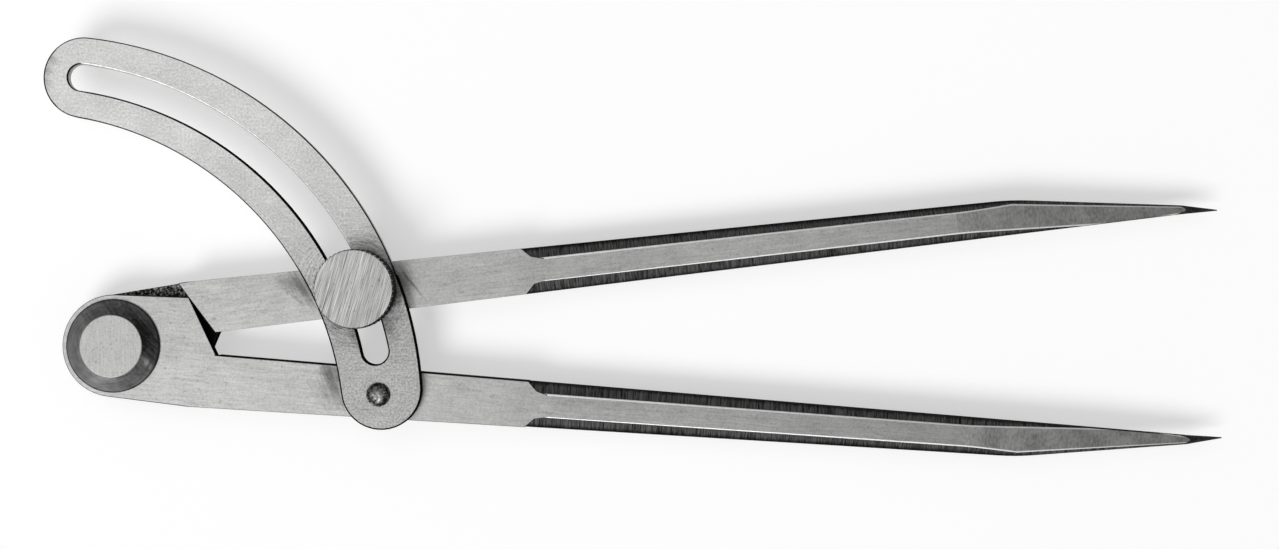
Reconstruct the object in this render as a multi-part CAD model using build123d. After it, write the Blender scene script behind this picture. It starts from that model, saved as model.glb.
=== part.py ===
from build123d import *
import os
from math import acos, atan2, cos, degrees, hypot, radians, sin, sqrt, tan

# A bow divider of flat steel, lying on its back and a little open. Two legs, half lapped at the head, turn
# on one hinge pin. A slotted arc turns on a rivet in the lower leg and lies across both legs. A knurled
# thumb screw in the upper leg runs in the slot and clamps the arc.
# Millimetres and degrees. The hinge axis is Z, X halves the angle between the legs and points at the tips,
# and z = 0 is the flat underside of the rear hinge washer.

# Legs, measured along the line from the hinge axis to the tip, and across from that line
leg_reach = 240.0
leg_thickness = 6.0
head_radius = 11.0
widest_reach = 17.0
widest_width = 11.75
blade_length = 44.4
bend_width = 7.8
bend_fillet = 60.0
inner_relief = 0.25
point_length = 8.0
point_root_width = 2.2
tip_radius = 0.12
rest_opening = 11.7

# Half lap at the head: the slanted shoulder crosses the inner edge at lap_reach
lap_reach = 22.15
shoulder_angle = 60.0

# Bevels along both long edges, and the thinning towards the point, which starts taper_lead before the bend
bevel_reach = 89.6
bevel_start_width = 2.55
bevel_end_width = 1.6
bevel_slope = 33.7
run_out_length = 1.9
run_out_blend = 2.4
taper_lead = 9.6
taper_fillet = 150.0
point_root_thickness = 2.7
point_cone_slope = 9.5
edge_bevel_end = 0.35

# Hinge pin and its two conical washers
pin_diameter = 8.0
pin_flare = 1.0
washer_base_diameter = 20.1
washer_top_diameter = 13.3
washer_height = 2.2
washer_edge = 0.3

# Thumb screw, in the upper leg
screw_reach = 53.9
screw_inset = 5.78
screw_thread_diameter = 5.0
screw_neck_diameter = 2.2
screw_end_recess = 0.5
screw_end_chamfer = 0.6
knob_diameter = 17.0
knob_height = 5.8
knob_chamfer = 0.4
knurl_count = 48
knurl_depth = 0.42

# Rivet, in the lower leg
rivet_reach = 57.97
rivet_inset = 5.53
rivet_diameter = 3.8
rivet_dome_diameter = 5.2
rivet_dome_height = 1.2
rivet_tail_diameter = 5.6

# Slotted arc, a crescent about its own axis of symmetry. Angles are counted from that axis.
arc_thickness = 2.5
arc_edge_break = 0.2
slot_width = 5.7
slot_radius = 75.05
slot_far_angle = 38.3
arc_half_span = 36.5
arc_inner_rim = 6.38
arc_outer_rim = 6.72
inner_centre_back = 2.98
outer_centre_ahead = 4.22
rivet_angle = 38.6
rivet_to_slot_end = 9.3
rivet_inside_slot_curve = 0.68
screw_offset_in_slot = 0.36

# Named clearances
closing_gap = 0.1
lap_end_clearance = 0.15
lap_face_clearance = 0.05
running_clearance = 0.05
face_clearance = 0.05

# Reaches and radii that follow
bend_reach = leg_reach - blade_length
point_root_reach = leg_reach - point_length
taper_reach = bend_reach - taper_lead
rivet_radius = slot_radius - rivet_inside_slot_curve
slot_near_angle = rivet_angle - degrees(rivet_to_slot_end / slot_radius)
arc_inner_radius = slot_radius - slot_width / 2 - arc_inner_rim + inner_centre_back
arc_outer_radius = slot_radius + slot_width / 2 + arc_outer_rim - outer_centre_ahead

# Heights that follow from the stack
leg_rear = washer_height + face_clearance
leg_middle = leg_rear + leg_thickness / 2
leg_front = leg_rear + leg_thickness
arc_rear = leg_front + face_clearance
arc_front = arc_rear + arc_thickness
knob_rear = arc_front + face_clearance
stack_height = leg_front + leg_rear
tip_edge = closing_gap / 2
bevel_ratio = tan(radians(bevel_slope))
far = 2 * leg_reach


def polar(radius, angle, centre=(0.0, 0.0)):
    """Point at a radius and an angle from a centre."""
    return (centre[0] + radius * cos(radians(angle)), centre[1] + radius * sin(radians(angle)))


def outer_edge(reach):
    """Distance of the outer edge from the hinge-to-tip line, at a reach along the leg."""
    stations = [
        (widest_reach, widest_width),
        (bend_reach, bend_width),
        (point_root_reach, point_root_width),
        (leg_reach, tip_edge + 2 * tip_radius),
    ]
    for (x0, y0), (x1, y1) in zip(stations, stations[1:]):
        if reach <= x1:
            return y0 + (y1 - y0) * (reach - x0) / (x1 - x0)
    return stations[-1][1]


def face_height(reach):
    """Height of a face above the middle of the leg, which thins towards the point."""
    share = max(0.0, reach - taper_reach) / (point_root_reach - taper_reach)
    return (leg_thickness + (point_root_thickness - leg_thickness) * share) / 2


def leg_side_plan():
    """Outline of one leg's own side, from the head to the tip."""
    corner = hypot(widest_reach, widest_width)
    tangent_angle = degrees(atan2(widest_width, widest_reach) + acos(head_radius / corner))
    outline = make_face(Polyline(
        (0, inner_relief),
        polar(head_radius, tangent_angle),
        (widest_reach, widest_width),
        (bend_reach, bend_width),
        (point_root_reach, point_root_width),
        (leg_reach, tip_edge + 2 * tip_radius),
        (leg_reach, tip_edge),
        (point_root_reach, inner_relief),
        close=True,
    ))
    bend = outline.vertices().sort_by_distance((bend_reach, bend_width))[0]
    return fillet(bend, bend_fillet)


def lap_zone(reach):
    """Arrow-headed area inside both slanted shoulders, whose nose lies on the axis at this reach."""
    side = 3 * head_radius
    back = reach - side * cos(radians(shoulder_angle))
    height = side * sin(radians(shoulder_angle))
    return make_face(Polyline(
        (reach, 0), (back, height), (-side, height), (-side, -height), (back, -height), close=True,
    ))


def side_profile():
    """Side view of a leg, upright in the XZ plane, thinning from taper_reach to the point."""
    half = leg_thickness / 2
    root = face_height(point_root_reach)
    slope = (root - half) / (point_root_reach - taper_reach)
    end = root + slope * (leg_reach - point_root_reach)
    outline = make_face(Polyline(
        (-2 * head_radius, -half), (taper_reach, -half), (leg_reach, -end),
        (leg_reach, end), (taper_reach, half), (-2 * head_radius, half), close=True,
    ))
    corners = [corner for corner in outline.vertices() if abs(corner.X - taper_reach) < tip_radius]
    outline = fillet(corners, taper_fillet)
    return extrude(Plane.XZ * outline, amount=far, both=True)


def bevel_cutter(inward, start, end):
    """Wedge that planes off one front edge. Each end is (reach, edge position, face height, bevel width)."""
    sections = []
    for reach, edge, height, width in (start, end):
        over = 2 * width
        high = (edge + inward * (width + over), height + over * bevel_ratio)
        low = (edge - inward * over, height - (width + over) * bevel_ratio)
        triangle = Polyline(high, low, (low[0], high[1]), close=True)
        sections.append(Plane(origin=(reach, 0, 0), x_dir=(0, 1, 0), z_dir=(1, 0, 0)) * make_face(triangle))
    return loft(sections, ruled=True)


def run_out(inward, edge):
    """Plan of one bevel's area: it leaves the edge on a slant and eases into the bevel's inner line."""
    corner = edge + inward * run_out_length
    eased = edge + inward * (bevel_start_width + face_clearance)
    wide = edge + inward * 2 * bevel_start_width
    outside = edge - inward * bevel_start_width
    plan = make_face(Polyline(
        (bevel_reach - bevel_start_width, outside),
        (bevel_reach, edge),
        (bevel_reach + run_out_length, corner),
        (bevel_reach + run_out_length + run_out_blend, eased),
        (bevel_reach + run_out_length + run_out_blend, wide),
        (leg_reach, wide),
        (leg_reach, outside),
        close=True,
    ))
    return extrude(plan, amount=leg_thickness)


def leg_bevels():
    """Everything that is planed off the front of a leg along its two long edges."""
    half = leg_thickness / 2
    begin = bevel_reach - bevel_start_width
    outer_begin = outer_edge(begin)
    outer_end = outer_edge(bend_reach)
    narrowing = (bevel_start_width - bevel_end_width) / (bend_reach - begin)
    last_width = bevel_end_width - narrowing * blade_length
    thinned_width = bevel_end_width - (half - face_height(bend_reach)) / bevel_ratio
    inner = bevel_cutter(
        1, (begin, inner_relief, half, bevel_start_width), (leg_reach, inner_relief, half, last_width))
    outer = bevel_cutter(
        -1, (begin, outer_begin, half, bevel_start_width), (bend_reach, outer_end, half, bevel_end_width))
    tapered = bevel_cutter(
        -1,
        (bend_reach, outer_end, face_height(bend_reach), thinned_width),
        (point_root_reach, point_root_width, face_height(point_root_reach), edge_bevel_end),
    )
    inner_area = run_out(1, inner_relief)
    outer_area = run_out(-1, outer_edge(bevel_reach))
    return [inner & inner_area, outer & outer_area, tapered]


def point_cone():
    """Room inside the conical point, widening backwards from the tip along the middle of the point."""
    root_middle = (inner_relief + point_root_width) / 2
    tip_middle = tip_edge + tip_radius
    lean = degrees(atan2(root_middle - tip_middle, leg_reach - point_root_reach))
    length = leg_reach - taper_reach
    cone_end = tip_radius + length * tan(radians(point_cone_slope))
    profile = make_face(Polyline((0, 0), (tip_radius, 0), (cone_end, length), (0, length), close=True))
    cone = revolve(Plane.XZ * profile, Axis.Z)
    return Pos(leg_reach, tip_middle, 0) * Rot(0, -90, 0) * Rot(-lean, 0, 0) * cone


def make_leg():
    """One leg with its lap on the rear half, its outer edge towards +Y and z = 0 in its middle."""
    half = leg_thickness / 2
    side = leg_side_plan()
    other_side = mirror(side, about=Plane.XZ)
    shoulder = lap_zone(lap_reach)
    lap_end = lap_zone(lap_reach - lap_end_clearance / sin(radians(shoulder_angle)))
    lower_half = make_face(Polyline((-far, 0), (far, 0), (far, -far), (-far, -far), close=True))
    upper_half = mirror(lower_half, about=Plane.XZ)
    closed = Circle(head_radius) + side + other_side + Pos(lap_reach / 2, 0) * Rectangle(lap_reach, head_radius)
    lap = (closed & shoulder & upper_half) + (closed & lap_end & lower_half)
    bar = extrude(side - shoulder, amount=half, both=True) & side_profile()
    for cutter in leg_bevels():
        bar -= cutter
        bar -= mirror(cutter, about=Plane.XY)
    blade_end = extrude(
        Pos(leg_reach, 0) * Rectangle(2 * (leg_reach - bend_reach), far), amount=leg_thickness, both=True)
    bar -= blade_end - point_cone()
    plate = Pos(0, 0, -half) * extrude(lap, amount=half - lap_face_clearance / 2)
    bore = Cylinder(pin_diameter / 2 + running_clearance, 2 * leg_thickness)
    return (bar + plate) - bore


def make_hinge_pin():
    """Hinge pin, its two ends flared into the washers and ground flush with them."""
    radius = pin_diameter / 2
    length = stack_height
    profile = make_face(Polyline(
        (0, 0), (radius + pin_flare, 0), (radius, pin_flare), (radius, length - pin_flare),
        (radius + pin_flare, length), (0, length), close=True,
    ))
    return revolve(Plane.XZ * profile, Axis.Z)


def make_hinge_washer():
    """Rear hinge washer, a low cone with its small flat face down on z = 0."""
    base = washer_base_diameter / 2
    top = washer_top_diameter / 2
    bore = pin_diameter / 2
    profile = make_face(Polyline(
        (bore + pin_flare, 0), (top, 0), (base, washer_height - washer_edge), (base, washer_height),
        (bore, washer_height), (bore, pin_flare), close=True,
    ))
    return revolve(Plane.XZ * profile, Axis.Z)


def slot_centre(screw, rivet):
    """Centre of the slot's curve, where the arc hangs between the screw and the rivet at rest."""
    reach = slot_radius + screw_offset_in_slot
    apart = hypot(rivet[0] - screw[0], rivet[1] - screw[1])
    along = (rivet_radius ** 2 - reach ** 2 + apart ** 2) / (2 * apart)
    away = sqrt(rivet_radius ** 2 - along ** 2)
    unit = ((screw[0] - rivet[0]) / apart, (screw[1] - rivet[1]) / apart)
    return (rivet[0] + along * unit[0] - away * unit[1], rivet[1] + along * unit[1] + away * unit[0])


def crescent():
    """Arc outline about the slot's centre: two circles on the axis of symmetry, with round ends."""
    inner = (-inner_centre_back, 0.0)
    outer = (outer_centre_ahead, 0.0)
    shift = inner_centre_back + outer_centre_ahead
    lean = cos(radians(arc_half_span))
    squares = arc_outer_radius ** 2 - arc_inner_radius ** 2 - shift ** 2
    end_radius = (squares + 2 * shift * arc_inner_radius * lean) / (
        2 * (arc_inner_radius + arc_outer_radius - shift * lean))
    end = polar(arc_inner_radius + end_radius, arc_half_span, inner)
    inside = polar(arc_inner_radius, arc_half_span, inner)
    out_angle = degrees(atan2(end[1] - outer[1], end[0] - outer[0]))
    outside = polar(arc_outer_radius, out_angle, outer)
    round_end = polar(end_radius, (arc_half_span + out_angle) / 2 + 90, end)
    return make_face([
        ThreePointArc((inside[0], -inside[1]), polar(arc_inner_radius, 0, inner), inside),
        ThreePointArc(inside, round_end, outside),
        ThreePointArc(outside, polar(arc_outer_radius, 0, outer), (outside[0], -outside[1])),
        ThreePointArc((outside[0], -outside[1]), (round_end[0], -round_end[1]), (inside[0], -inside[1])),
    ])


def make_arc():
    """Slotted arc about the slot's centre, its axis of symmetry along +X and its rear face on z = 0."""
    middle = (slot_far_angle - slot_near_angle) / 2
    slot = SlotArc(
        ThreePointArc(
            polar(slot_radius, -slot_near_angle), polar(slot_radius, middle), polar(slot_radius, slot_far_angle)),
        slot_width,
    )
    pivot = Pos(*polar(rivet_radius, -rivet_angle)) * Circle(rivet_diameter / 2 + running_clearance)
    plate = extrude(crescent() - slot, amount=arc_thickness)
    plate = chamfer(plate.edges().group_by(Axis.Z)[-1] + plate.edges().group_by(Axis.Z)[0], arc_edge_break)
    return plate - extrude(pivot, amount=arc_thickness)


def rivet_dome():
    """Domed front head of the rivet, its flat side on z = 0."""
    half = rivet_dome_diameter / 2
    ball = (half ** 2 + rivet_dome_height ** 2) / (2 * rivet_dome_height)
    profile = make_face([
        Line((0, 0), (half, 0)),
        ThreePointArc(
            (half, 0),
            polar(ball, (90 + degrees(atan2(ball - rivet_dome_height, half))) / 2, (0, rivet_dome_height - ball)),
            (0, rivet_dome_height)),
        Line((0, rivet_dome_height), (0, 0)),
    ])
    return revolve(Plane.XZ * profile, Axis.Z)


def make_rivet():
    """Rivet that the arc turns on, in place over the origin."""
    profile_tail = rivet_tail_diameter / 2 - rivet_diameter / 2
    shank = Pos(0, 0, leg_rear + profile_tail) * Cylinder(
        rivet_diameter / 2, knob_rear - leg_rear - profile_tail, align=(Align.CENTER, Align.CENTER, Align.MIN))
    tail = Pos(0, 0, leg_rear) * Cone(
        rivet_tail_diameter / 2, rivet_diameter / 2, profile_tail, align=(Align.CENTER, Align.CENTER, Align.MIN))
    return shank + tail + Pos(0, 0, knob_rear) * rivet_dome()


def knurl_profile():
    """Round outline with evenly spaced V teeth."""
    points = []
    for tooth in range(knurl_count):
        angle = 360 * tooth / knurl_count
        points.append(polar(knob_diameter / 2, angle))
        points.append(polar(knob_diameter / 2 - knurl_depth, angle + 180 / knurl_count))
    return make_face(Polyline(*points, close=True))


def make_thumb_screw():
    """Thumb screw over the origin: a knurled head, a thin neck in the slot and a threaded end in the leg."""
    radius = knob_diameter / 2
    end = radius - knob_chamfer
    blank = make_face(Polyline(
        (0, 0), (end, 0), (radius, knob_chamfer), (radius, knob_height - knob_chamfer), (end, knob_height),
        (0, knob_height), close=True,
    ))
    head = Pos(0, 0, knob_rear) * (extrude(knurl_profile(), amount=knob_height) & revolve(Plane.XZ * blank, Axis.Z))
    neck_end = leg_front - face_clearance
    tip = leg_rear + screw_end_recess
    thread = screw_thread_diameter / 2
    shank = make_face(Polyline(
        (0, tip), (thread - screw_end_chamfer, tip), (thread, tip + screw_end_chamfer), (thread, neck_end),
        (screw_neck_diameter / 2, neck_end), (screw_neck_diameter / 2, knob_rear + knob_chamfer),
        (0, knob_rear + knob_chamfer), close=True,
    ))
    return head + revolve(Plane.XZ * shank, Axis.Z)


half_opening = rest_opening / 2
screw_angle = degrees(atan2(screw_inset, screw_reach)) + half_opening
rivet_bearing = -degrees(atan2(rivet_inset, rivet_reach)) - half_opening
screw_axis = polar(hypot(screw_reach, screw_inset), screw_angle)
rivet_axis = polar(hypot(rivet_reach, rivet_inset), rivet_bearing)
arc_origin = slot_centre(screw_axis, rivet_axis)
rivet_direction = degrees(atan2(rivet_axis[1] - arc_origin[1], rivet_axis[0] - arc_origin[0]))

leg = make_leg()
screw_hole = Pos(screw_reach, screw_inset) * Cylinder(
    screw_thread_diameter / 2 + running_clearance, 2 * leg_thickness)
rivet_hole = Pos(rivet_axis[0], rivet_axis[1]) * make_rivet()
upper_leg = Pos(0, 0, leg_middle) * Rot(0, 0, half_opening) * (leg - screw_hole)
lower_leg = Pos(0, 0, leg_middle) * Rot(0, 0, -half_opening) * Rot(180, 0, 0) * leg - rivet_hole
front_washer = Pos(0, 0, stack_height) * Rot(180, 0, 0) * make_hinge_washer()

nodes = {
    "upper_leg": upper_leg,
    "lower_leg": lower_leg,
    "hinge_pin": make_hinge_pin(),
    "front_hinge_washer": front_washer,
    "rear_hinge_washer": make_hinge_washer(),
    "slotted_arc": Pos(*arc_origin, arc_rear) * Rot(0, 0, rivet_direction + rivet_angle) * make_arc(),
    "arc_rivet": rivet_hole,
    "thumb_screw": Pos(*screw_axis) * make_thumb_screw(),
}

os.makedirs("parts", exist_ok=True)
for name, solid in nodes.items():
    export_step(solid, f"parts/{name}.step")
print("screw axis", screw_axis, "rivet axis", rivet_axis, "slot centre", arc_origin)
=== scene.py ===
"""Gives a bow divider of ground steel bar its finishes, its knurling, its stage and its camera."""

from math import atan2, cos, hypot, pi, radians, sin

import bpy
from bpy.props import FloatProperty, FloatVectorProperty, IntProperty, PointerProperty
from bpy.types import Operator, Panel, PropertyGroup
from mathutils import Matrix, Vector


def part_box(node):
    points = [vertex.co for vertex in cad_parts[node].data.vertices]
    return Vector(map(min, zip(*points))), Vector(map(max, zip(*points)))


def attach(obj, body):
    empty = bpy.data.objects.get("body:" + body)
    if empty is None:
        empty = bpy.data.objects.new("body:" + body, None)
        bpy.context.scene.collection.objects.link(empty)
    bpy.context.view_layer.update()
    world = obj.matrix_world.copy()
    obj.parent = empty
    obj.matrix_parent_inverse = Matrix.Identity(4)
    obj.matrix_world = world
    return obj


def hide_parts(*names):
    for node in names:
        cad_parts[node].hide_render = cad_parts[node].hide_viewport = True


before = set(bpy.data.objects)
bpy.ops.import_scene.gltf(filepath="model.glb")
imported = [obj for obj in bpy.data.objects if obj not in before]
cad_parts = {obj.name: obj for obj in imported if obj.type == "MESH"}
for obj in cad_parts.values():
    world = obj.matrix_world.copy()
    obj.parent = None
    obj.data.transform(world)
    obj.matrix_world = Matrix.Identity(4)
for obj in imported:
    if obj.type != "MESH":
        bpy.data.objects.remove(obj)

bl_info = {
    "name": "Bow divider",
    "version": (1, 0, 0),
    "blender": (4, 5, 0),
    "location": "View3D > Sidebar > Divider",
    "description": "Finishes a slotted-arc bow divider in ground, milled and knurled steel",
    "category": "Object",
}

MM = 0.001

# The legs: the level of the lap's floor, the reach from the hinge to the tip, the turn from the X axis, the length of
# the conical point, the reach of the lap's slanted shoulder, half the head's width, and the bar's width, in
# millimetres, with what it loses in each millimetre outwards
LAP_LEVEL = 5.25 * MM
LEG_REACH = 240 * MM
LEG_TURN = {"upper_leg": radians(5.85), "lower_leg": radians(-5.85)}
POINT_LENGTH = 9.5 * MM
SHOULDER_START, SHOULDER_END = 10 * MM, 27 * MM
HALF_HEAD = 10.5 * MM
BAR_WIDTH, BAR_NARROWING = 12.13, -0.0221

# The arc: the centre and radius of its slot's middle line, how near to that line the slot's own walls are, where the
# free end and the slot's end begin along X, and the place along Y below which all its edges are black as painted shade
SLOT_CENTRE = Vector((-17.09 * MM, -16.5 * MM))
SLOT_RADIUS = 75.05 * MM
SLOT_WALLS = 3.5 * MM
FREE_END, SLOT_END = -10.5 * MM, -5 * MM
PAINTED_SHADE_BELOW = 15 * MM

# The hinge washers: the distance from the hinge's axis beyond which their flanks lie
FLANK_START = 6.4 * MM

# The rivet's dome, and the thumb screw: its head's height, the top of its thread, its thread's crest and its neck
DOME_HEIGHT = 1.1 * MM
HEAD_HEIGHT = 5.8 * MM
THREAD_TOP = 8.2 * MM
THREAD_CREST = 2.5 * MM
NECK_RADIUS = 1.1 * MM

# The finishes of a leg, the arc, a washer and the screw's head, in the order of their material slots
FACE, BEVEL, SIDE, LAP, POINT, ARRIS, TAPER = range(7)
# On the arc, the third finish is pale steel as a painted highlight, and the fourth is black as painted shade.
PLATE, SHEARED, PAINTED_HIGHLIGHT, PAINTED_SHADE = range(4)
DISC, CONE, RIM = range(3)
KNURL, TOP = range(2)

# The range of Blender's noise, but for its peaks
NOISE = (0.3, 0.7)


# Colours and nodes

def linear(colour):
    """An sRGB hex colour such as C8C8C6 as linear red, green, blue and alpha."""
    channels = [int(colour[i:i + 2], 16) / 255 for i in (0, 2, 4)]
    return (*[c / 12.92 if c <= 0.04045 else ((c + 0.055) / 1.055) ** 2.4 for c in channels], 1.0)


def add_node(tree, kind, inputs=(), stops=(), **settings):
    """Adds a shader node with its settings. Its inputs are given in order or by name, as values, sockets or nodes,
    which link by their first output, and a ramp's stops as (place, grey or colour)."""
    node = tree.nodes.new("ShaderNode" + kind)
    for name, value in settings.items():
        setattr(node, name, value)
    for socket, value in inputs.items() if isinstance(inputs, dict) else enumerate(inputs):
        if isinstance(value, bpy.types.Node):
            value = value.outputs[0]
        if isinstance(value, bpy.types.NodeSocket):
            tree.links.new(value, node.inputs[socket])
        else:
            node.inputs[socket].default_value = value
    for i, (place, colour) in enumerate(stops):
        point = node.color_ramp.elements[i] if i < 2 else node.color_ramp.elements.new(place)
        point.position = place
        point.color = colour if hasattr(colour, "__len__") else (colour, colour, colour, 1.0)
    return node


def new_material(name):
    """An empty node material and its tree."""
    material = bpy.data.materials.new(name)
    material.use_nodes = True
    material.node_tree.nodes.clear()
    return material, material.node_tree


def turned_place(tree, turn=0.0):
    """Object coordinates in millimetres, with X turned to lie along the grain."""
    place = add_node(tree, "TexCoord").outputs["Object"]
    return add_node(tree, "Mapping", {"Vector": place, "Rotation": (0, 0, -turn), "Scale": (1 / MM, 1 / MM, 1 / MM)})


def streaks(tree, place, length, width, detail=3.0, seed=0.0):
    """Noise drawn out along X: marks of about this length and width, in millimetres."""
    drawn = add_node(tree, "Mapping", {
        "Vector": place, "Location": (seed, seed, seed), "Scale": (1 / length, 1 / width, 1 / width)})
    return add_node(tree, "TexNoise", {"Vector": drawn, "Scale": 1.0, "Detail": detail, "Roughness": 0.6})


def mottle(tree, place, size, detail=4.0, seed=0.0):
    """Even noise with patches of about this size, in millimetres."""
    return streaks(tree, place, size, size, detail, seed)


def from_axis(tree, place, centre):
    """A place as measured from an upright axis, and its distance from that axis."""
    local = add_node(tree, "VectorMath", [place, (*centre, 0)], operation="SUBTRACT")
    flat = add_node(tree, "VectorMath", [local, (1, 1, 0)], operation="MULTIPLY")
    return local, add_node(tree, "VectorMath", [flat], operation="LENGTH").outputs["Value"]


def rings(tree, place, centre, width, sweep, seed):
    """The distance from an upright axis, and noise drawn into rings about it: marks of this width in millimetres
    that sweep about this angle."""
    local, radius = from_axis(tree, place, centre)
    split = add_node(tree, "SeparateXYZ", [local]).outputs
    angle = add_node(tree, "Math", [split["Y"], split["X"]], operation="ARCTAN2")
    return radius, streaks(tree, add_node(tree, "CombineXYZ", [radius, angle]), width, sweep, 3.0, seed)


def layered(tree, *layers):
    """One shade from several patterns: each adds from least to most as it goes from low to high."""
    total = None
    for pattern, low, high, least, most in layers:
        part = add_node(tree, "MapRange", [pattern, low, high, least, most])
        total = part if total is None else add_node(tree, "Math", [total, part], operation="ADD")
    return total


def toned(tree, shade, *tones):
    """A shade multiplied by tones, each a pattern that goes from low to high as the factor goes from one to another."""
    for pattern, low, high, first, last in tones:
        factor = add_node(tree, "MapRange", [pattern, low, high, first, last])
        shade = add_node(tree, "Math", [shade, factor], operation="MULTIPLY")
    return shade


def smudged(tree, shade, smudges):
    """A shade darkened by soft patches with streaky edges, each given as its centre, its reach along and across, its
    turn and its depth, in millimetres and radians."""
    place = turned_place(tree)
    for seed, (centre, along, across, turn, depth) in enumerate(smudges):
        local = add_node(tree, "Mapping", {"Vector": place, "Location": (*centre, 0), "Rotation": (0, 0, turn),
                                           "Scale": (along, across, 100)}, vector_type="TEXTURE")
        distance = add_node(tree, "VectorMath", [local], operation="LENGTH").outputs["Value"]
        edge = layered(tree, (distance, 0.0, 2.0, 0.0, 2.0),
                       (streaks(tree, local, 1.1, 0.16, 4.0, seed), *NOISE, -0.3, 0.3),
                       (mottle(tree, place, 0.7, 3.0, seed), *NOISE, -0.12, 0.12))
        shade = toned(tree, shade, (edge, 0.2, 1.0, 1.0 - depth, 1.0))
    return shade


def coat(tree, colour, shade, roughness, relief, strength, depth, metallic=1.0, gloss=0.5):
    """Closes a finish: a colour scaled by its shade, over a fine relief whose depth is in millimetres."""
    tint = add_node(tree, "VectorMath", {0: colour[:3], "Scale": shade}, operation="SCALE")
    bump = add_node(tree, "Bump", {"Height": relief, "Strength": strength, "Distance": depth * MM})
    surface = add_node(tree, "BsdfPrincipled", {"Base Color": tint, "Roughness": roughness, "Normal": bump,
                                                "Metallic": metallic, "Specular IOR Level": gloss})
    add_node(tree, "OutputMaterial", [surface])


# Finishes

def ground_bar(name, turn, colour, smudges=(), tones=()):
    """Flat steel bar, surface ground along its length: fine pale and dark lines over an even grain, faint clouds and a
    few pits, with tones along the bar that paint the light's falloff, and dark smudges beside the arc, some of them a
    painted shadow of the knob. A grinding wheel's lines are about 0.05 mm wide, and are drawn 0.3 mm wide, as coarse
    as they need to be to show."""
    material, tree = new_material(name)
    place = turned_place(tree, turn)
    lines = streaks(tree, place, 4.5, 0.3, 4.0)
    shade = layered(tree, (lines, *NOISE, 0.87, 1.13), (mottle(tree, place, 5.0, 4.0, 4.0), *NOISE, -0.06, 0.06),
                    (mottle(tree, place, 0.42, 2.0, 21.0), *NOISE, -0.13, 0.13),
                    (mottle(tree, place, 0.9, 2.0, 11.0), 0.64, 0.7, 0.0, -0.22))
    reach = add_node(tree, "SeparateXYZ", [place]).outputs["X"]
    # Tones along the bar paint the light's falloff.
    shade = toned(tree, shade, *[(reach, *tone) for tone in tones])
    roughness = layered(tree, (lines, *NOISE, 0.34, 0.44))
    coat(tree, colour, smudged(tree, shade, smudges), roughness, lines, 0.25, 0.01)
    return material


def cut_steel(name, turn, colour, tick, reach, low, high, roughness, seed=0.0):
    """Steel left as the cutter left it: ticks across the grain, from low to high shade. Their spacing along the grain
    and their reach across it are in millimetres, and coarser than the real tool's so that they show."""
    material, tree = new_material(name)
    place = turned_place(tree, turn)
    ticks = streaks(tree, place, tick, reach, 3.0, seed)
    shade = layered(tree, (ticks, 0.32, 0.68, low, high),
                    (mottle(tree, place, 5.0, 3.0, seed + 2.0), *NOISE, -0.2, 0.2))
    coat(tree, colour, shade, roughness, ticks, 0.5, 0.02)
    return material


def milled_bevel(name, turn, colour):
    """A bevel cut by a face mill: fine ticks straight across it, on a colour much darker than the faces' as painted
    shade, and a black band where it meets the bar's side. The bar's inner side lies along the leg's own X axis, and its
    outer side follows the bar's width."""
    material, tree = new_material(name)
    place = turned_place(tree, turn)
    split = add_node(tree, "SeparateXYZ", [place]).outputs
    across = add_node(tree, "Math", [split["Y"]], operation="ABSOLUTE")
    width = add_node(tree, "Math", [split["X"], BAR_NARROWING, BAR_WIDTH], operation="MULTIPLY_ADD")
    from_outer = add_node(tree, "Math", [width, across], operation="SUBTRACT")
    from_side = add_node(tree, "Math", [across, from_outer], operation="MINIMUM")
    edge = layered(tree, (from_side, 0.0, 2.0, 0.0, 2.0),
                   (streaks(tree, place, 0.4, 4.0, 3.0, turn + 4.0), *NOISE, -0.25, 0.25))
    ticks = streaks(tree, place, 0.3, 4.0, 3.0, turn)
    shade = layered(tree, (ticks, 0.34, 0.66, 0.3, 2.1), (mottle(tree, place, 5.0, 3.0, 2.0), *NOISE, -0.25, 0.25))
    coat(tree, colour, toned(tree, shade, (edge, 0.3, 1.0, 0.14, 1.0)), 0.42, ticks, 0.5, 0.02)
    return material


def mill_scale(name, turn, colour):
    """Black iron oxide left on sawn and rolled sides and in corners: matt and grainy, with no shine at a low angle. On
    the arc's edges it is painted shade.
    """
    material, tree = new_material(name)
    grain = streaks(tree, turned_place(tree, turn), 2.2, 0.4, 4.0, turn + 1.0)
    coat(tree, colour, layered(tree, (grain, *NOISE, 0.6, 1.5)), 0.7, grain, 0.4, 0.03, metallic=0.0, gloss=0.0)
    return material


def sheared_edge(name, colour, bare, level):
    """The plate's punched edge: a dark smooth land under its face, and below that level, in millimetres, the paler
    broken zone."""
    material, tree = new_material(name)
    place = turned_place(tree)
    ragged = mottle(tree, place, 0.8, 3.0, 3.0)
    height = add_node(tree, "SeparateXYZ", [place]).outputs["Z"]
    broken = layered(tree, (height, level - 4.0, level + 4.0, 4.0, -4.0), (ragged, *NOISE, -0.25, 0.25))
    broken = layered(tree, (broken, -0.1, 0.4, 0.0, 1.0))
    tint = add_node(tree, "ValToRGB", [broken], stops=[(0.0, colour), (1.0, bare)])
    bump = add_node(tree, "Bump", {"Height": ragged, "Strength": 0.4, "Distance": 0.05 * MM})
    surface = add_node(tree, "BsdfPrincipled", {
        "Base Color": tint, "Roughness": 0.5, "Metallic": broken, "Specular IOR Level": 0.1, "Normal": bump})
    add_node(tree, "OutputMaterial", [surface])
    return material


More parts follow.
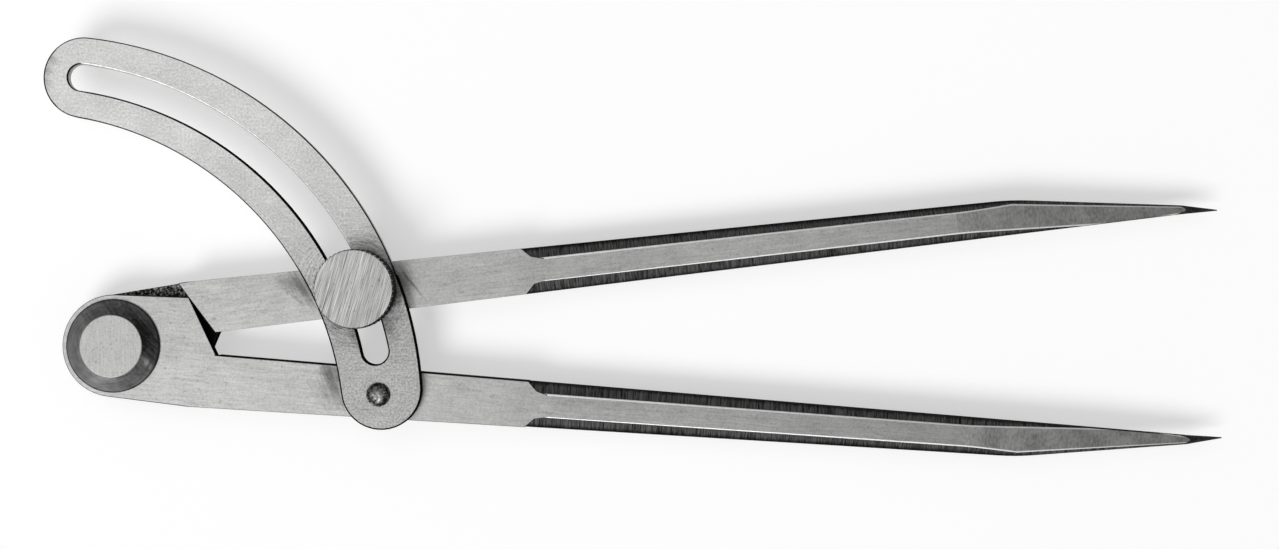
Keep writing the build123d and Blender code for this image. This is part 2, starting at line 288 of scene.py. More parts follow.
def rough_lap(name, colour, speck):
    """The half lap's milled floor, never ground: black oily scale, kept black as painted shade in the gap between the
    legs, with pale specks where the cutter tore it, only on the side that lies open."""
    material, tree = new_material(name)
    place = turned_place(tree)
    torn = mottle(tree, place, 0.5, 6.0, 5.0)
    side = add_node(tree, "SeparateXYZ", [place]).outputs["Y"]
    # The specks fade out towards the gap, which stays black as painted shade.
    share = toned(tree, layered(tree, (torn, 0.46, 0.66, 0.0, 1.0)), (side, 9.6, 11.0, 0.0, 1.0))
    tint = add_node(tree, "ValToRGB", [share], stops=[(0.0, colour), (1.0, speck)])
    bump = add_node(tree, "Bump", {"Height": torn, "Strength": 0.8, "Distance": 0.1 * MM})
    surface = add_node(tree, "BsdfPrincipled", {
        "Base Color": tint, "Roughness": layered(tree, (torn, *NOISE, 0.75, 0.45)), "Normal": bump,
        "Metallic": share, "Specular IOR Level": 0.0})
    add_node(tree, "OutputMaterial", [surface])
    return material


def worn_edge(name, colour, turn=0.0, start=-100.0):
    """Arrises rubbed bright by the hand: pale, smoother metal with slight breaks in the shine, dull near its start,
    which is a reach along the grain in millimetres. On the arc's slot it is a painted highlight."""
    material, tree = new_material(name)
    place = turned_place(tree, turn)
    wear = mottle(tree, place, 1.2, 4.0, 7.0)
    reach = add_node(tree, "SeparateXYZ", [place]).outputs["X"]
    shade = toned(tree, layered(tree, (wear, *NOISE, 0.8, 1.05)), (reach, start, start + 6.0, 0.35, 1.0))
    coat(tree, colour, shade, layered(tree, (wear, *NOISE, 0.5, 0.4)), wear, 0.1, 0.01)
    return material


def turned_cone(name, colour):
    """The washer's flank as the lathe left it: fine rings about the hinge, dark in part as painted shade, with a few
    brighter turns, a painted highlight on one patch, painted shade on its upper right and at its bottom, and a painted
    shadow at its foot."""
    material, tree = new_material(name)
    place = turned_place(tree)
    radius, turns = rings(tree, place, (0, 0), 0.3, 0.83, 2.0)
    shade = layered(tree, (turns, *NOISE, 0.75, 1.25), (mottle(tree, place, 2.2, 5.0, 6.0), *NOISE, -0.25, 0.25))
    # A painted highlight: one bright patch low on the flank's right, brightest on the turns.
    rubbed = smudged(tree, 1.0, [((7.4, -3.7), 1.9, 0.9, -1.1, 1.0)])
    rubbed = toned(tree, layered(tree, (rubbed, 0.0, 1.0, 1.0, 0.0)), (turns, 0.4, 0.6, 0.0, 3.0))
    shade = add_node(tree, "Math", [shade, rubbed], operation="ADD")
    # Painted shade: darker over the flank's upper right and at its bottom.
    shade = smudged(tree, shade, [((4.0, 3.3), 14.0, 9.0, 2.27, 0.88), ((0.5, -9.4), 8.0, 4.5, 0.0, 0.4)])
    # A painted contact shadow: black at the flank's foot.
    shade = toned(tree, shade, (radius, 9.95, 9.72, 0.12, 1.0))
    coat(tree, colour, shade, 0.36, turns, 0.4, 0.02)
    return material


def rolled_plate(name, colour, axis, smudges):
    """The arc's rolled steel plate with a satin finish: fine grey grain, darker towards its low end, with smudges, a
    painted shadow of the knob, and curved scratches that the knob has left about its axis."""
    material, tree = new_material(name)
    place = turned_place(tree)
    grain = mottle(tree, place, 0.45, 2.0, 1.0)
    clouds = mottle(tree, place, 6.0, 4.0, 3.0)
    height = add_node(tree, "SeparateXYZ", [place]).outputs["Y"]
    # Darker towards low Y, from 44 mm down to 2 mm.
    shade = layered(tree, (grain, *NOISE, 0.8, 1.18), (clouds, *NOISE, -0.04, 0.04),
                    (streaks(tree, place, 4.0, 0.4, 3.0, 9.0), *NOISE, -0.06, 0.06), (height, 44.0, 2.0, 0.0, -0.4))
    radius, scratches = rings(tree, place, axis, 0.3, 0.5, 5.0)
    scratches = toned(tree, layered(tree, (scratches, 0.36, 0.62, 0.14, -0.24)), (radius, 10.0, 17.0, 1.0, 0.0))
    shade = add_node(tree, "Math", [shade, scratches], operation="ADD")
    coat(tree, colour, smudged(tree, shade, smudges), layered(tree, (clouds, *NOISE, 0.36, 0.48)), grain, 0.2, 0.01)
    return material


def filed_top(name, turn, colour):
    """The screw head's top, dressed with a coarse file: long slanting scratches, some cut bright, some dark. A file's
    teeth are about 0.5 mm apart, and their scratches 0.15 to 0.4 mm wide."""
    material, tree = new_material(name)
    place = turned_place(tree, turn)
    coarse = streaks(tree, place, 9.0, 0.36, 3.0, 1.0)
    fine = streaks(tree, place, 6.0, 0.19, 3.0, 6.0)
    shade = layered(tree, (coarse, *NOISE, 0.91, 1.02), (fine, *NOISE, -0.32, 0.32),
                    (streaks(tree, place, 9.0, 0.15, 1.0, 14.0), 0.56, 0.63, 0.0, 0.55),
                    (streaks(tree, place, 9.0, 0.17, 1.0, 24.0), 0.58, 0.64, 0.0, -0.45),
                    (mottle(tree, place, 0.6, 2.0, 3.0), 0.62, 0.7, 0.0, -0.25))
    coat(tree, colour, shade, layered(tree, (fine, *NOISE, 0.34, 0.46)), coarse, 0.6, 0.03)
    return material


def knurled_flank(name, axis, root, crest, rim, colour, wear_and_highlight):
    """The screw head's knurl: black with oily dirt and in part painted shade; only the points next to the rim are pale,
    from wear and a painted highlight.
    The axis, the radii of the grooves and the points and the height of the rim are in millimetres."""
    material, tree = new_material(name)
    place = turned_place(tree)
    radius = from_axis(tree, place, axis)[1]
    level = add_node(tree, "SeparateXYZ", [place]).outputs["Z"]
    depth = crest - root
    # Only the points next to the rim turn pale, from wear and a painted highlight.
    height = toned(tree, layered(tree, (radius, root + 0.15 * depth, root + 0.7 * depth, 0.0, 1.0)),
                   (level, rim - 1.0, rim - 0.45, 0.0, 1.0))
    tint = add_node(tree, "ValToRGB", [height], stops=[(0.0, colour), (1.0, wear_and_highlight)])
    surface = add_node(tree, "BsdfPrincipled", {
        "Base Color": tint, "Roughness": layered(tree, (height, 0.0, 1.0, 0.6, 0.34)),
        "Metallic": layered(tree, (height, 0.0, 0.3, 0.0, 1.0)), "Specular IOR Level": 0.2})
    add_node(tree, "OutputMaterial", [surface])
    return material


def fired_rivet(name, colour, wear_and_highlight):
    """Rivet steel blackened in the fire and set with a hammer: dark, in part as painted shade, rough, and paler where
    it faces up, its crown worn and given a painted highlight.
    """
    material, tree = new_material(name)
    normal = add_node(tree, "TexCoord").outputs["Normal"]
    up = add_node(tree, "SeparateXYZ", [normal]).outputs["Z"]
    # Paler where the surface faces up: wear on the crown and a painted highlight.
    share = layered(tree, (up, -1.0, 1.0, -1.0, 1.0),
                    (mottle(tree, turned_place(tree), 0.6, 5.0, 2.0), *NOISE, -0.16, 0.16))
    share = layered(tree, (share, 0.78, 1.12, 0.0, 1.0))
    tint = add_node(tree, "ValToRGB", [share], stops=[(0.0, colour), (1.0, wear_and_highlight)])
    surface = add_node(tree, "BsdfPrincipled", {
        "Base Color": tint, "Roughness": layered(tree, (share, 0.0, 1.0, 0.6, 0.42)), "Metallic": 1.0})
    add_node(tree, "OutputMaterial", [surface])
    return material


def white_bench(name, colour, lift):
    """A bench of matt white laminate. It is seen lifted to white, and still takes the divider's shadow."""
    material, tree = new_material(name)
    path = add_node(tree, "LightPath").outputs
    mirrored = add_node(tree, "Math", [path["Is Glossy Ray"], path["Is Transmission Ray"]], operation="MAXIMUM")
    seen = add_node(tree, "Math", [path["Is Camera Ray"], mirrored], operation="MAXIMUM")
    surface = add_node(tree, "BsdfPrincipled", {
        "Base Color": colour, "Roughness": 0.9, "Emission Color": (1, 1, 1, 1),
        "Emission Strength": add_node(tree, "Math", [seen, lift], operation="MULTIPLY")})
    add_node(tree, "OutputMaterial", [surface])
    return material


# Mesh work, as by hand in edit mode

def only(piece):
    """Makes one object the only one selected, and the active one."""
    bpy.ops.object.select_all(action="DESELECT")
    piece.select_set(True)
    bpy.context.view_layer.objects.active = piece


def deselect_all():
    """Deselects everything, as the loaded CAD nodes start selected."""
    bpy.ops.object.select_all(action="DESELECT")


def select_parts(piece, kind, wanted):
    """Selects only the vertices, edges or faces, by kind VERT, EDGE or FACE, that wanted() accepts."""
    bpy.ops.object.mode_set(mode="EDIT")
    bpy.ops.mesh.select_mode(type=kind)
    bpy.ops.mesh.select_all(action="DESELECT")
    bpy.ops.object.mode_set(mode="OBJECT")
    mesh = piece.data
    for part in {"VERT": mesh.vertices, "EDGE": mesh.edges, "FACE": mesh.polygons}[kind]:
        part.select = wanted(part)


def merged_copy(node, name):
    """A copy of a CAD node to work on, its triangles merged and its flat areas joined to single faces."""
    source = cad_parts[node]
    piece = bpy.data.objects.new(name, source.data.copy())
    piece.data.name = name
    piece.data.materials.clear()
    bpy.context.scene.collection.objects.link(piece)
    only(piece)
    bpy.ops.mesh.customdata_custom_splitnormals_clear()
    bpy.ops.object.mode_set(mode="EDIT")
    bpy.ops.mesh.select_all(action="SELECT")
    bpy.ops.mesh.remove_doubles(threshold=0.001 * MM)
    bpy.ops.mesh.dissolve_limited(angle_limit=radians(0.1))
    bpy.ops.mesh.normals_make_consistent(inside=False)
    bpy.ops.object.mode_set(mode="OBJECT")
    return piece


def ridges(mesh, least):
    """Edges where two faces meet at an outside corner over this angle, as (edge's key, smaller face, larger face)."""
    faces = {}
    for face in mesh.polygons:
        for key in face.edge_keys:
            faces.setdefault(key, []).append(face)
    found = []
    for key, pair in faces.items():
        pair.sort(key=lambda face: face.area)
        if len(pair) == 2 and pair[0].normal.angle(pair[1].normal, 0.0) > least:
            if (pair[0].center - pair[1].center).dot(pair[1].normal) < 0:
                found.append((key, *pair))
    return found


def break_edges(piece, width, least, wanted, slot):
    """Bevels the outside corners over an angle that wanted() accepts, with two facets and a slot's finish."""
    chosen = {key for key, first, second in ridges(piece.data, least) if wanted(first, second)}
    if not chosen:
        raise RuntimeError(f"{piece.name} has no edge to break")
    only(piece)
    select_parts(piece, "EDGE", lambda edge: edge.key in chosen)
    bpy.ops.object.mode_set(mode="EDIT")
    bpy.ops.mesh.bevel(offset=width, segments=2, affect="EDGES", material=slot, clamp_overlap=False)
    bpy.ops.object.mode_set(mode="OBJECT")


def meets_first(slot):
    """A test for the corners between the finish in a piece's first slot and the one in this slot."""
    return lambda first, second: {first.material_index, second.material_index} == {0, slot}


def keep_inside(piece, node):
    """Draws corners that a bevel has thrown out of the CAD solid back onto its surface and into its height."""
    only(piece)
    bpy.ops.object.modifier_add(type="SHRINKWRAP")
    wrap = piece.modifiers[-1]
    wrap.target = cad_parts[node]
    wrap.wrap_mode = "INSIDE"
    bpy.ops.object.modifier_apply(modifier=wrap.name)
    low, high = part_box(node)
    for corner in piece.data.vertices:
        corner.co.z = min(max(corner.co.z, low.z), high.z)


def smooth(piece, angle):
    """Smooth shading up to an angle, with large faces kept flat."""
    only(piece)
    bpy.ops.object.shade_smooth_by_angle(angle=angle)
    bpy.ops.object.modifier_add(type="WEIGHTED_NORMAL")
    piece.modifiers[-1].keep_sharp = True
    bpy.ops.object.modifier_apply(modifier=piece.modifiers[-1].name)


def hand_over(piece, body, node):
    """Lets a finished piece ride on a body and stand for a CAD node."""
    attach(piece, body)
    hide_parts(node)


# Settings

def colour_setting(name, description, colour):
    """A colour property with its default as a hex value."""
    return FloatVectorProperty(name=name, description=description, subtype="COLOR", size=4, min=0, max=1,
                               default=linear(colour))


def length_setting(name, description, value):
    """A length property with its default in metres."""
    return FloatProperty(name=name, description=description, subtype="DISTANCE", unit="LENGTH", default=value, min=0)


class DividerSizes(PropertyGroup):
    """Sizes that the finishing adds to the CAD solids."""
    bevel_arris: length_setting("Bevel arris", "Width of the rubbed edge between a leg's face and bevels", 0.17 * MM)
    arris: length_setting("Arris", "Width of the blackened edge on every other outside corner", 0.14 * MM)
    plate_arris: length_setting("Plate arris", "Width that the arc's dark outer edge takes of its face", 0.05 * MM)
    # The next two widths belong to the arc's black edges of painted shade and its pale slot edge of painted highlight.
    painted_shade_arris: length_setting("Oily arris", "Width that the edges black with oil take of the arc's face", 0.13 * MM)
    slot_arris: length_setting("Slot arris", "Width that the slot's rubbed edge takes of the arc's face", 0.2 * MM)
    washer_arris: length_setting("Washer arris", "Width of the rubbed edge round a washer's flat face", 0.09 * MM)
    knob_rim: length_setting("Knob rim", "Width of the chamfer round the screw head's faces", 0.34 * MM)
    knurl_depth: length_setting("Knurl depth", "Height of the knurl's points over its grooves", 0.42 * MM)
    knurl_count: IntProperty(name="Knurl points", description="Points in one row round the head", default=48, min=12)
    knurl_rows: IntProperty(name="Knurl rows", description="Half rows of points up the head", default=6, min=2)
    hammering: length_setting("Hammering", "Depth of the hammer's dents in the rivet's crown", 0.22 * MM)
    thread_pitch: length_setting("Thread pitch", "Rise of the screw's thread in one turn", 0.8 * MM)
    thread_depth: length_setting("Thread depth", "Depth of the screw's thread", 0.45 * MM)


class DividerColours(PropertyGroup):
    """Colours of the steel and of the bench."""
    ground: colour_setting("Ground bar", "Faces of the legs", "AAAAA9")
    # The bevels' darkness is painted shade.
    milled: colour_setting("Milled bevel", "Bevels of the legs", "464646")
    taper: colour_setting("Ground taper", "Faces of the legs beyond the bend", "9E9E9D")
    side: colour_setting("Bar side", "Scale on the legs' side walls and outer arrises", "363636")
    # On the arc's edges this black also serves as painted shade.
    scale: colour_setting("Plate edge", "Scale on the arc's edges", "121212")
    # The point's dark colour is painted shade, as on the bevels.
    point: colour_setting("Ground point", "Conical points of the legs", "3C3C3C")
    # This black also serves as painted shade in the gap between the legs.
    lap: colour_setting("Lap", "Floor of the half lap", "1C1C1C")
    speck: colour_setting("Lap specks", "Torn specks on the half lap", "A8A8A6")
    arris: colour_setting("Arris", "Rubbed edges", "E6E6E4")
    # The flank's darkness is partly painted shade.
    cone: colour_setting("Washer flank", "Turned flank of the hinge washers", "747474")
    disc: colour_setting("Washer face", "Flat face of the hinge washers and the pin", "A6A6A5")
    plate: colour_setting("Arc plate", "The slotted arc", "C6C6C5")
    # The dome's dark is partly painted shade, and the crown's pale partly a painted highlight.
    rivet: colour_setting("Rivet", "The rivet's black dome", "262626")
    crown: colour_setting("Rivet crown", "The rivet's rubbed crown", "A6A6A4")
    knob: colour_setting("Screw head", "The filed top of the thumb screw", "A6A6A5")
    # The knurl's black is partly painted shade.
    knurl: colour_setting("Knurl", "Grooves of the screw head's knurl", "101010")
    thread: colour_setting("Thread", "The screw's thread and neck", "828281")
    bench: colour_setting("Bench", "The surface that the divider lies on", "C5C5C5")


# Pieces

def leg_place(point, turn):
    """A point's reach along a leg and its distance across, from the hinge axis."""
    return (point.x * cos(turn) + point.y * sin(turn), point.y * cos(turn) - point.x * sin(turn))


class DIVIDER_OT_legs(Operator):
    """Finish both legs: ground faces, milled bevels, black laps and bright arrises"""
    bl_idname = "divider.legs"
    bl_label = "Legs"

    # Smudges as smudged() takes them, and tones along the bars as toned() does, by their reach in millimetres
    smudges = {
        # The last two smudges, right of the arc, are a painted shadow of the knob.
        "upper_leg": [
            ((41.2, 11.4), 6.2, 2.6, -1.05, 0.62), ((37.6, 12.9), 3.6, 2.2, -0.5, 0.34),
            ((39.4, 9.4), 3.0, 0.5, -0.7, 0.3), ((62.6, 12.6), 5.6, 2.8, -1.15, 0.56),
            ((64.4, 12.2), 4.6, 0.45, -0.9, 0.5),
        ],
        # The broad smudge at 106 mm paints the light's falloff.
        "lower_leg": [
            ((47.4, -9.2), 7.0, 3.3, -1.25, 0.6), ((46.0, -6.2), 2.6, 2.4, 0.0, 0.3),
            ((45.0, -11.2), 5.0, 3.2, -1.0, 0.16), ((106.0, -11.0), 30.0, 9.0, -0.1, 0.16),
        ],
    }
    # Painted light falloff: darker from 55 to 105 mm, and on the upper leg lighter again from 108 to 150 mm.
    tones = {
        "upper_leg": [(55.0, 105.0, 1.0, 0.86), (108.0, 150.0, 1.0, 1.22)],
        "lower_leg": [(55.0, 105.0, 1.0, 0.86)],
    }

    def execute(self, context):
        colours, sizes = context.scene.divider_colours, context.scene.divider_sizes
        for node, turn in LEG_TURN.items():
            piece = merged_copy(node, node + "_steel")
            for finish in (
                ground_bar("ground_steel_" + node, turn, colours.ground, self.smudges[node], self.tones[node]),
                milled_bevel("milled_steel_bevels_" + node, turn, colours.milled),
                mill_scale("mill_scale_" + node, turn, colours.side),
                rough_lap("oily_black_scale_and_painted_shade_" + node, colours.lap, colours.speck),
                cut_steel("ground_steel_point_" + node, turn, colours.point, 0.5, 0.8, 0.4, 1.5, 0.42, turn),
                worn_edge("rubbed_steel_arris_" + node, colours.arris, turn, 80.0),
                cut_steel("ground_steel_taper_" + node, turn, colours.taper, 0.4, 0.9, 0.74, 1.26, 0.4, turn),
            ):
                piece.data.materials.append(finish)
            for face in piece.data.polygons:
                face.material_index = self.finish_of(face, turn)
            break_edges(piece, sizes.bevel_arris, radians(8), self.face_meets_bevel, ARRIS)
            break_edges(piece, sizes.arris, radians(50), self.behind_point, SIDE)
            keep_inside(piece, node)
            smooth(piece, radians(35))
            hand_over(piece, node, node)
        return {"FINISHED"}

    @staticmethod
    def finish_of(face, turn):
        """The finish of a leg's face, by its place and how level it is: its normal's Z is 1 on the flat, just under 1
        on the taper, over 0.6 on a bevel and 0 on a side."""
        reach, across = leg_place(face.center, turn)
        level = abs(face.normal.z)
        if reach > LEG_REACH - POINT_LENGTH and level < 0.999:
            return POINT
        if level > 0.99:
            if abs(face.center.z - LAP_LEVEL) < 0.2 * MM:
                return LAP
            return TAPER if level < 0.99999 else FACE
        # The lap's shoulder walls, in the gap between the legs, take its black as painted shade.
        if level < 0.5 and SHOULDER_START < reach < SHOULDER_END and abs(across) < HALF_HEAD:
            return LAP
        return BEVEL if level > 0.6 else SIDE

    @staticmethod
    def behind_point(first, second):
        """True where neither face is part of the conical point, which stays sharp."""
        return POINT not in (first.material_index, second.material_index)

    @staticmethod
    def face_meets_bevel(first, second):
        """True where a ground face or the taper meets a bevel."""
        return {first.material_index, second.material_index} in ({FACE, BEVEL}, {TAPER, BEVEL})


class DIVIDER_OT_hinge(Operator):
    """Finish the hinge: turned flanks, brushed flat faces and a flush pin"""
    bl_idname = "divider.hinge"
    bl_label = "Hinge"

    def execute(self, context):
        colours, sizes = context.scene.divider_colours, context.scene.divider_sizes
        disc = ground_bar("brushed_steel_disc", radians(90), colours.disc)
        cone = turned_cone("lathe_turned_steel", colours.cone)
        rim = worn_edge("rubbed_steel_washer_rim", colours.thread)
        for node in ("front_hinge_washer", "rear_hinge_washer"):
            piece = merged_copy(node, node + "_turned")
            for finish in (disc, cone, rim):
                piece.data.materials.append(finish)
            for face in piece.data.polygons:
                face.material_index = DISC if abs(face.normal.z) > 0.98 else CONE
            break_edges(piece, sizes.washer_arris, radians(20), self.outer_corner, RIM)
            smooth(piece, radians(25))
            hand_over(piece, "lower_leg", node)
        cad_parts["hinge_pin"].material_slots[0].material = disc
        return {"FINISHED"}

    @staticmethod
    def outer_corner(first, second):
        """True at the corner between a washer's flat face and its flank, and not at its bore."""
        radii = [hypot(face.center.x, face.center.y) for face in (first, second)]
        return max(radii) > FLANK_START and {first.material_index, second.material_index} == {DISC, CONE}


class DIVIDER_OT_arc(Operator):
    """Finish the slotted arc in satin plate with blackened edges"""
    bl_idname = "divider.arc"
    bl_label = "Slotted arc"

    def execute(self, context):
        colours, sizes = context.scene.divider_colours, context.scene.divider_sizes
        low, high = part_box("thumb_screw")
        axis = ((low.x + high.x) / 2 / MM, (low.y + high.y) / 2 / MM)
        piece = merged_copy("slotted_arc", "slotted_arc_plate")
        for finish in (
            rolled_plate("rolled_steel_plate", colours.plate, axis, [
                ((56.4, 19.6), 4.2, 2.2, -0.6, 0.36), ((52.3, 1.4), 4.0, 1.5, -1.35, 0.34),
                ((59.4, 2.4), 4.4, 2.4, -1.1, 0.3), ((57.1, -11.4), 4.6, 4.6, 0.0, 0.14),
                ((63.2, 11.8), 6.0, 1.6, -1.2, 0.3), ((46.0, 12.0), 5.0, 1.6, -1.0, 0.2),
                # The two rings about the knob and the patches at (56.4, 19.6) and (63.2, 11.8) paint the knob's shadow.
                ((axis[0] + 1.5, axis[1] - 0.2), 10.8, 10.8, 0.0, 0.72),
                ((axis[0] + 0.9, axis[1] - 0.1), 9.8, 9.8, 0.0, 1.0), ((-14.0, 59.0), 3.8, 9.0, -0.3, 0.46),
            ]),
            sheared_edge("sheared_steel_edge", colours.scale, colours.ground, 10.3),
            # The slot's outer edge, facing the light, is paler steel as a painted highlight; the black edges are
            # painted shade.
            worn_edge("pale_steel_slot_edge_painted_highlight", colours.disc),
            mill_scale("black_steel_edge_painted_shade", 0.0, colours.scale),
        ):
            piece.data.materials.append(finish)
        for face in piece.data.polygons:
            face.material_index = self.finish_of(face)
        for slot, width in ((SHEARED, sizes.plate_arris), (PAINTED_HIGHLIGHT, sizes.slot_arris), (PAINTED_SHADE, sizes.painted_shade_arris)):
            break_edges(piece, width, radians(30), meets_first(slot), slot)
        smooth(piece, radians(25))
        hand_over(piece, "arc", "slotted_arc")
        return {"FINISHED"}

    @staticmethod
    def finish_of(face):
        """The finish of a face of the arc. Black as painted shade: the slot's inner wall, which faces away from the
        light, the edges round the free end and every edge low on the arc, round the rivet and over the legs. Pale as a
        painted
        highlight: the chamfer on the slot's outer edge, which faces the light."""
        level = abs(face.normal.z)
        if level > 0.98:
            return PLATE
        slanted = level > 0.3
        offset = face.center.xy - SLOT_CENTRE
        outwards = offset.normalized().dot(face.normal.xy)
        near_slot = abs(offset.length - SLOT_RADIUS) < SLOT_WALLS
        in_slot = near_slot and face.center.x > SLOT_END
        shaded_end = face.center.x < FREE_END and (slanted or (near_slot and face.normal.x > 0))
        if face.center.y < PAINTED_SHADE_BELOW or shaded_end or (in_slot and outwards > 0.3):
            return PAINTED_SHADE
        return PAINTED_HIGHLIGHT if in_slot and outwards < -0.3 and slanted else SHEARED


class DIVIDER_OT_rivet(Operator):
    """Hammer the rivet's dome and make its crown pale, from wear and a painted highlight"""
    bl_idname = "divider.rivet"
    bl_label = "Rivet"

    def execute(self, context):
        colours, sizes = context.scene.divider_colours, context.scene.divider_sizes
        piece = merged_copy("arc_rivet", "arc_rivet_hammered")
        piece.data.materials.append(fired_rivet("fire_blackened_steel", colours.rivet, colours.crown))
        crown = piece.vertex_groups.new(name="crown")
        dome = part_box("arc_rivet")[1].z - DOME_HEIGHT
        crown.add([corner.index for corner in piece.data.vertices if corner.co.z > dome], 1.0, "REPLACE")
        dents = bpy.data.textures.new("hammer_dents", "CLOUDS")
        dents.noise_scale = 0.7 * MM
        dents.noise_depth = 2
        bpy.ops.object.modifier_add(type="DISPLACE")
        displace = piece.modifiers[-1]
        displace.texture = dents
        displace.texture_coords = "LOCAL"
        displace.vertex_group = "crown"
        displace.mid_level = 1.0
        displace.strength = sizes.hammering
        bpy.ops.object.modifier_apply(modifier=displace.name)
        smooth(piece, radians(40))
        hand_over(piece, "lower_leg", "arc_rivet")
        return {"FINISHED"}


class DIVIDER_OT_screw(Operator):
    """Model the thumb screw: a diamond-knurled head with a filed top, a neck and a threaded end"""
    bl_idname = "divider.screw"
    bl_label = "Thumb screw"

    def execute(self, context):
        colours, sizes = context.scene.divider_colours, context.scene.divider_sizes
        low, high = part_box("thumb_screw")
        axis = ((low.x + high.x) / 2, (low.y + high.y) / 2)
        radius = (high.x - low.x) / 2
        head = self.knurled_head(sizes, axis, radius, high.z - HEAD_HEIGHT, high.z)
        for finish in (
            knurled_flank("knurled_steel", (axis[0] / MM, axis[1] / MM), (radius - sizes.knurl_depth) / MM, radius / MM,
                          high.z / MM, colours.knurl, colours.disc),
            filed_top("filed_steel", radians(73), colours.knob),
        ):
            head.data.materials.append(finish)
        for face in head.data.polygons:
            distance = hypot(face.center.x - axis[0], face.center.y - axis[1])
            flat = abs(face.normal.z) > 0.9
            face.material_index = TOP if flat and distance < radius - sizes.knob_rim else KNURL
        smooth(head, radians(20))
        inside_head = high.z - HEAD_HEIGHT + 0.2 * MM
        shank = self.threaded_shank(sizes, axis, low.z, inside_head)
        shank.data.materials.append(cut_steel("cut_steel_thread", 0.0, colours.thread, 0.8, 0.8, 0.85, 1.1, 0.36))
        smooth(shank, radians(30))
        for piece in (head, shank):
            hand_over(piece, "thumb_screw", "thumb_screw")
        return {"FINISHED"}

    @staticmethod
    def knurled_head(sizes, axis, radius, rear, front):
        """A ring of quads pulled out at every other corner into knurl points, closed by two chamfered faces."""
        columns, rows = 2 * sizes.knurl_count, sizes.knurl_rows
        rim, near = sizes.knob_rim, 0.01 * MM
        valley = radius - sizes.knurl_depth
        deselect_all()
        bpy.ops.mesh.primitive_cylinder_add(
            vertices=columns, radius=valley, depth=front - rear - 2 * rim, end_fill_type="NOTHING",
            location=(*axis, (front + rear) / 2))
        head = bpy.context.object
        head.name = head.data.name = "thumb_screw_head"
        bpy.ops.object.transform_apply(location=True)

        def levels(edge):
            return [head.data.vertices[i].co.z for i in edge.vertices]

        select_parts(head, "EDGE", lambda edge: max(levels(edge)) - min(levels(edge)) > near)
        bpy.ops.object.mode_set(mode="EDIT")
        bpy.ops.mesh.subdivide(number_cuts=rows - 1)
        bpy.ops.object.mode_set(mode="OBJECT")
        step = (front - rear - 2 * rim) / rows

        def is_point(corner):
            column = round(atan2(corner.co.y - axis[1], corner.co.x - axis[0]) / (2 * pi) * columns)
            return (column + round((corner.co.z - rear - rim) / step)) % 2 == 1

        select_parts(head, "VERT", is_point)
        bpy.ops.object.mode_set(mode="EDIT")
        bpy.ops.transform.resize(value=(radius / valley, radius / valley, 1))
        bpy.ops.mesh.select_all(action="SELECT")
        bpy.ops.mesh.quads_convert_to_tris(quad_method="SHORTEST_DIAGONAL")
        for level, height in ((front - rim, front), (rear + rim, rear)):
            bpy.ops.object.mode_set(mode="OBJECT")
            select_parts(head, "EDGE", lambda edge: all(abs(z - level) < near for z in levels(edge)))
            bpy.ops.object.mode_set(mode="EDIT")
            bpy.ops.mesh.extrude_edges_move(TRANSFORM_OT_translate={"value": (0, 0, height - level)})
            bpy.ops.object.mode_set(mode="OBJECT")
            for corner in head.data.vertices:
                if corner.select:
                    offset = Vector((corner.co.x - axis[0], corner.co.y - axis[1])).normalized() * (radius - rim)
                    corner.co.x, corner.co.y = axis[0] + offset.x, axis[1] + offset.y
            bpy.ops.object.mode_set(mode="EDIT")
            bpy.ops.mesh.edge_face_add()
        bpy.ops.mesh.select_all(action="SELECT")
        bpy.ops.mesh.normals_make_consistent(inside=False)
        bpy.ops.object.mode_set(mode="OBJECT")
        return head

    @staticmethod
    def threaded_shank(sizes, axis, rear, top):
        """A threaded end under a thin neck: a core, and a ridge drawn round it by the Screw modifier, sunk a little
        into it and stopped short of both of its ends."""
        sunk, run_out = 0.05 * MM, 0.6 * MM
        root = THREAD_CREST - sizes.thread_depth
        deselect_all()
        bpy.ops.mesh.primitive_cylinder_add(
            vertices=48, radius=root, depth=THREAD_TOP - rear, location=(*axis, (THREAD_TOP + rear) / 2))
        shank = bpy.context.object
        shank.name = shank.data.name = "thumb_screw_shank"
        bpy.ops.object.transform_apply(location=True)
        select_parts(shank, "FACE", lambda face: face.normal.z > 0.9)
        bpy.ops.object.mode_set(mode="EDIT")
        bpy.ops.mesh.inset(thickness=root - NECK_RADIUS, depth=0)
        bpy.ops.mesh.extrude_region_move(TRANSFORM_OT_translate={"value": (0, 0, top - THREAD_TOP)})
        bpy.ops.object.mode_set(mode="OBJECT")
        deselect_all()
        bpy.ops.mesh.primitive_circle_add(
            vertices=3, radius=sizes.thread_pitch / 2 / cos(radians(30)), fill_type="NGON",
            location=(root - sunk, 0, 0), rotation=(radians(90), radians(90), 0))
        ridge = bpy.context.object
        bpy.ops.object.transform_apply(location=True, rotation=True)
        for corner in ridge.data.vertices:
            corner.co.x = THREAD_CREST if corner.co.x > root else root - sunk
            corner.co.z *= 0.9  # leaves a narrow flat between the turns
        bpy.ops.object.modifier_add(type="SCREW")
        screw = ridge.modifiers[-1]
        screw.steps = screw.render_steps = 32
        screw.iterations = int((THREAD_TOP - rear - 2 * run_out) / sizes.thread_pitch)
        screw.screw_offset = sizes.thread_pitch
        screw.use_merge_vertices = False
        bpy.ops.object.modifier_apply(modifier=screw.name)
        for corner in ridge.data.vertices:
            corner.co += Vector((*axis, rear + run_out))
        only(shank)
        ridge.select_set(True)
        bpy.ops.object.join()
        return shank


